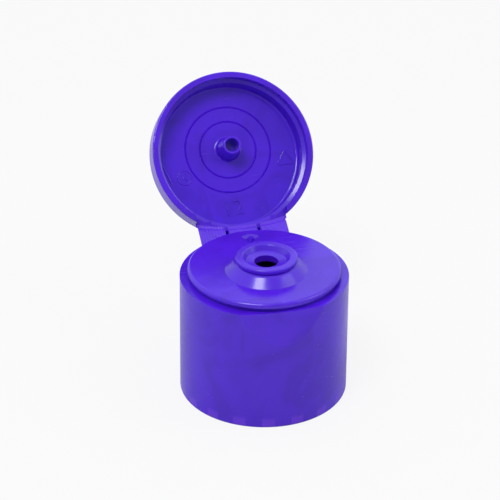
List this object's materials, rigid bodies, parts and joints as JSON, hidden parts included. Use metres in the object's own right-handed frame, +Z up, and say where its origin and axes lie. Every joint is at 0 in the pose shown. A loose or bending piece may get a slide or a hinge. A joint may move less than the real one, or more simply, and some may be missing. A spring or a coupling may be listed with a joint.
{
  "type": "flip top cap",
  "caption": "Screw-on bottle cap with a raised deck and small pouring nozzle, and a hollow lid held open on a sprung living hinge.",
  "frame": {"origin": "on the cap's axis, in the plane of its foot, where the bottle neck enters", "axes": "+Z up along the cap's axis from the foot to the deck; +Y towards the hinge; -Y towards the thumb recess; X along the hinge line. Stored open, as it springs"},
  "size_m": [0.028, 0.049, 0.0438],
  "materials": {
    "cap_plastic": "glossy injection-moulded polypropylene, purple",
    "lid_plastic": "glossy injection-moulded polypropylene, purple",
    "hinge_plastic": "glossy polypropylene, thin and slightly see-through"
  },
  "bodies": {
    "base": {"cap_base": "cap_plastic", "snap_hinge": "hinge_plastic"},
    "lid": {"flip_lid": "lid_plastic"}
  },
  "joints": [
    {"name": "lid_hinge", "type": "hinge", "parent": "base", "child": "lid", "pos_m": [0, 0.01415, 0.02135], "axis": [-1, 0, 0], "range_deg": [-126.86, 38], "deforming": ["snap_hinge"]}
  ]
}
